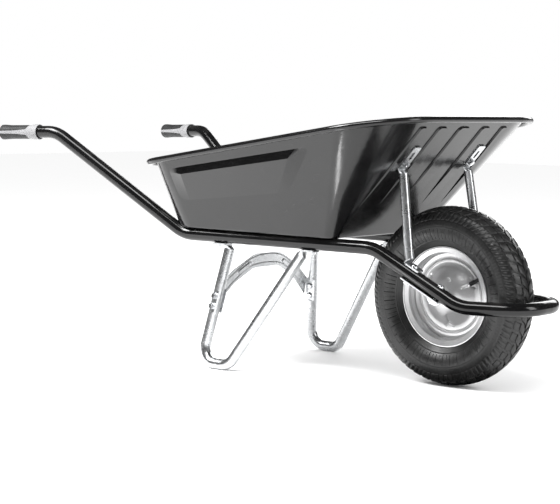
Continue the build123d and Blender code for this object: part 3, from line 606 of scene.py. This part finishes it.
def unitSlab(lengthSteps, widthSteps, topSize=(1.0, 1.0, 1.0)):
    # A closed slab one unit in size, from z = 0 up to 1, with its top drawn in
    clearSelection()
    bpy.ops.mesh.primitive_grid_add(x_subdivisions=lengthSteps, y_subdivisions=widthSteps, size=1.0)
    slab = bpy.context.object
    bpy.ops.object.mode_set(mode="EDIT")
    bpy.ops.mesh.select_all(action="SELECT")
    bpy.ops.mesh.extrude_region_move(TRANSFORM_OT_translate={"value": (0.0, 0.0, 1.0)})
    bpy.ops.transform.resize(value=topSize)
    bpy.ops.object.mode_set(mode="OBJECT")
    return slab


def smoothLine(points, steps):
    # Rounded line through the points
    line = []
    for index in range(len(points) - 1):
        near = [points[min(max(index + offset, 0), len(points) - 1)] for offset in (-1, 0, 1, 2)]
        for step in range(steps):
            t = step / steps
            line.append(tuple(
                0.5 * (2 * b + (c - a) * t + (2 * a - 5 * b + 4 * c - d) * t ** 2 + (3 * b - a - 3 * c + d) * t ** 3)
                for a, b, c, d in zip(*near)))
    return line + [points[-1]]


def spunPiece(name, section, turns):
    # A closed section of (radius, y) points, spun round the axle
    clearSelection()
    bpy.ops.mesh.primitive_circle_add(vertices=len(section), radius=0.05, location=(0.0, 0.0, 0.0))
    piece = bpy.context.object
    piece.name = name
    for vertex, (radius, y) in zip(piece.data.vertices, section):
        vertex.co = (wheelCentre[0] + radius, y, wheelCentre[2])
    bpy.ops.object.mode_set(mode="EDIT")
    bpy.ops.mesh.select_all(action="SELECT")
    bpy.ops.mesh.spin(steps=turns, angle=2 * math.pi, center=wheelCentre, axis=(0.0, 1.0, 0.0))
    bpy.ops.object.mode_set(mode="OBJECT")
    editAll(piece, mergeClose, faceOutwards)
    return piece


def makeCarcass():
    outer = smoothLine(tyre["side"] + tyre["grooves"], 3)
    inner = smoothLine(tyre["inside"], 2)
    half = inner[::-1] + outer
    section = half + [(radius, -y) for radius, y in half[-2:0:-1]]
    return spunPiece("tyre_carcass", section, tyre["turns"])


def acrossTread(line, place):
    # Point on a tread line, counted in steps from the crown
    points = line[::-1]
    index = min(int(place), len(points) - 2)
    share = place - index
    return Vector(points[index]).lerp(Vector(points[index + 1]), share)


def wrapOnTyre(vertex, row, side):
    # x runs round the tyre, y across it and z up from the groove floor
    place = row["start"] + (vertex.co.y + 0.5) * (row["end"] - row["start"])
    low = acrossTread(tyre[row.get("feet", "grooves")], place)
    high = acrossTread(tyre[row.get("crests", "tops")], place)
    out = (high - low).normalized()
    spot = (low - out * tyre["sink"]).lerp(high, vertex.co.z)
    run = vertex.co.x * row["width"] + (place - row["start"]) * row["slant"] + (vertex.co.y + 0.5) ** 2 * row["curl"]
    angle = run / tyre["tops"][-1][0]
    vertex.co = (wheelCentre[0] + spot.x * math.cos(angle), side * spot.y, wheelCentre[2] + spot.x * math.sin(angle))


def makeBlock(row, side):
    block = unitSlab(1, 3, tyre["blockTop"])
    for vertex in block.data.vertices:
        wrapOnTyre(vertex, row, side)
    editAll(block, faceOutwards)
    edge = block.modifiers.new("soft edge", "BEVEL")
    edge.width = tyre["blockEdge"]
    edge.segments = 1
    edge.limit_method = "ANGLE"
    edge.angle_limit = math.radians(50.0)
    bpy.ops.object.modifier_apply(modifier=edge.name)
    return block


def copiesRound(block, count, shift):
    # The block copied round the axle, every copy with its own mesh
    copies = []
    for index in range(count):
        copy = block.copy()
        copy.data = block.data.copy()
        bpy.context.scene.collection.objects.link(copy)
        turn = Matrix.Rotation(2 * math.pi * (index + shift) / count, 4, "Y")
        centre = Matrix.Translation(wheelCentre)
        copy.data.transform(centre @ turn @ centre.inverted())
        copies.append(copy)
    bpy.data.objects.remove(block)
    return copies


def joined(name, parts):
    activate(*parts)
    bpy.ops.object.join()
    piece = bpy.context.object
    piece.name = name
    return piece


def finishPiece(piece, body, slotName, angle):
    activate(piece)
    piece.data.materials.clear()
    piece.data.materials.append(finishes[slotName])
    piece.data.polygons.foreach_set("material_index", [0] * len(piece.data.polygons))
    bpy.ops.object.shade_smooth_by_angle(angle=math.radians(angle))
    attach(piece, body)


def makeTyre():
    parts = [makeCarcass()]
    for row in treadRows:
        for side, offset in ((1.0, 0.0), (-1.0, 0.5)):
            parts += copiesRound(makeBlock(row, side), row["count"], row["shift"] + offset)
    piece = joined("tyre_with_tread", parts)
    finishPiece(piece, "wheel", "tyre_rubber", tyre["turn"])
    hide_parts("tyre")
    return piece


treadedTyre = makeTyre()
print("tyre made:", len(treadedTyre.data.polygons), "faces")

# Pressed wheel discs: a dome inside a thin raised ring, with three Y-shaped folds round the hub
wheelFace = {
    "turns": 240,
    # (radius, distance from the wheel's middle) along the middle of the sheet
    "line": [(0.0173, 0.0270), (0.0240, 0.0263), (0.0320, 0.0243), (0.0400, 0.0211), (0.0470, 0.0173),
             (0.0540, 0.0128), (0.0600, 0.0090), (0.0660, 0.0058), (0.0720, 0.0046), (0.0770, 0.0044),
             (0.0800, 0.0060), (0.0832, 0.0048), (0.0890, 0.0046), (0.0946, 0.0060)],
    "sheet": 0.0018,
    "steps": 5,
    "folds": (-90.0, 30.0, 150.0),
    # each fold is a Y: start and end of its three strokes as (radius, offset to the side)
    "strokes": [((0.0440, 0.0), (0.0580, 0.0)),
                ((0.0580, 0.0), (0.0665, 0.0105)),
                ((0.0580, 0.0), (0.0665, -0.0105))],
    "foldWidth": 0.0022,
    "foldDepth": 0.0026,
    "turn": 50.0,
}


def distanceToStroke(spot, stroke):
    start, end = Vector(stroke[0]), Vector(stroke[1])
    run = end - start
    share = min(max((spot - start).dot(run) / run.length_squared, 0.0), 1.0)
    return (spot - start - run * share).length


def pressFolds(piece, side):
    for vertex in piece.data.vertices:
        x, z = vertex.co.x - wheelCentre[0], vertex.co.z - wheelCentre[2]
        deepest = 0.0
        for angle in wheelFace["folds"]:
            turn = math.radians(angle)
            spot = Vector((x * math.cos(turn) + z * math.sin(turn), z * math.cos(turn) - x * math.sin(turn)))
            near = min(distanceToStroke(spot, stroke) for stroke in wheelFace["strokes"])
            deepest = max(deepest, math.exp(-(near / wheelFace["foldWidth"]) ** 2))
        vertex.co.y -= side * deepest * wheelFace["foldDepth"]


def makeWheelFace(name, side, node):
    line = smoothLine(wheelFace["line"], wheelFace["steps"])
    half = wheelFace["sheet"] / 2
    outer = [(radius, side * (y + half)) for radius, y in line]
    inner = [(radius, side * (y - half)) for radius, y in line]
    piece = spunPiece(name, outer + inner[::-1], wheelFace["turns"])
    pressFolds(piece, side)
    finishPiece(piece, "wheel", "wheel_silver", wheelFace["turn"])
    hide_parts(node)


makeWheelFace("wheel_face_right", -1.0, "wheel_disc_right")
makeWheelFace("wheel_face_left", 1.0, "wheel_disc_left")
print("wheel faces made")

# Leg brace with the raised beads pressed along its edges and round its two slots
brace = {
    # corner of the brace's own plane, then its directions up the sheet and out of its front face
    "corner": Vector((-0.12106, 0.0, 0.0)),
    "up": Vector((0.16290, 0.0, 0.98664)),
    "out": Vector((0.98664, 0.0, -0.16290)),
    "face": 0.0025,
    # lines as (across, up the sheet) in metres
    "edgeBeads": [
        [(-0.1560, 0.1850), (-0.1150, 0.2200), (-0.0450, 0.2563),
         (0.0450, 0.2563), (0.1150, 0.2200), (0.1560, 0.1850)],
        [(-0.1585, 0.1570), (-0.1085, 0.2030), (-0.0470, 0.2355),
         (0.0470, 0.2355), (0.1085, 0.2030), (0.1585, 0.1570)],
    ],
    "slotCentre": (0.079, 0.229),
    "slotTurn": -27.3,
    "slotSize": (0.050, 0.0125),
    "slotRound": 8,
    "beadWidth": 0.0030,
    "beadHeight": 0.0012,
    "sink": 0.0004,
    "steps": 96,
    "turn": 35.0,
}


def slotLoop(side):
    # Closed line round one slot: two straight runs joined by half circles
    half = (brace["slotSize"][0] - brace["slotSize"][1]) / 2
    radius = brace["slotSize"][1] / 2
    turn = Matrix.Rotation(math.radians(side * brace["slotTurn"]), 2)
    line = []
    for end, first in ((half, -90.0), (-half, 90.0)):
        for step in range(brace["slotRound"] + 1):
            angle = math.radians(first + 180.0 * step / brace["slotRound"])
            spot = turn @ Vector((end + radius * math.cos(angle), radius * math.sin(angle)))
            line.append((spot.x + side * brace["slotCentre"][0], spot.y + brace["slotCentre"][1]))
    return line + [line[0]]


def placeOnLine(line, share):
    # Point and direction at a share of the line's length
    lengths = [(Vector(b) - Vector(a)).length for a, b in zip(line, line[1:])]
    left = share * sum(lengths)
    for a, b, length in zip(line, line[1:], lengths):
        if left <= length + 1e-9:
            run = Vector(b) - Vector(a)
            return Vector(a) + run * (left / length), run.normalized()
        left -= length
    return Vector(line[-1]), (Vector(line[-1]) - Vector(line[-2])).normalized()


def makeBead(line):
    # x runs along the bead, y across it and z out of the sheet
    bead = unitSlab(brace["steps"], 4)
    for vertex in bead.data.vertices:
        spot, run = placeOnLine(line, vertex.co.x + 0.5)
        spot += Vector((-run.y, run.x)) * vertex.co.y * brace["beadWidth"]
        height = brace["face"] - brace["sink"]
        if vertex.co.z > 0.5:
            height += brace["sink"] + brace["beadHeight"] * math.cos(math.pi * vertex.co.y)
        vertex.co = brace["corner"] + Vector((0.0, spot.x, 0.0)) + brace["up"] * spot.y + brace["out"] * height
    editAll(bead, faceOutwards)
    return bead


def makeBrace():
    body = frame["nodes"]["leg_brace"].copy()
    body.data = body.data.copy()
    bpy.context.scene.collection.objects.link(body)
    editAll(body, mergeClose)
    bpy.ops.mesh.customdata_custom_splitnormals_clear()
    lines = [smoothLine(line, 6) for line in brace["edgeBeads"]] + [slotLoop(1), slotLoop(-1)]
    piece = joined("leg_brace_pressed", [body] + [makeBead(line) for line in lines])
    finishPiece(piece, "frame", "galvanised", brace["turn"])
    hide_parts("leg_brace")


makeBrace()
print("leg brace made")
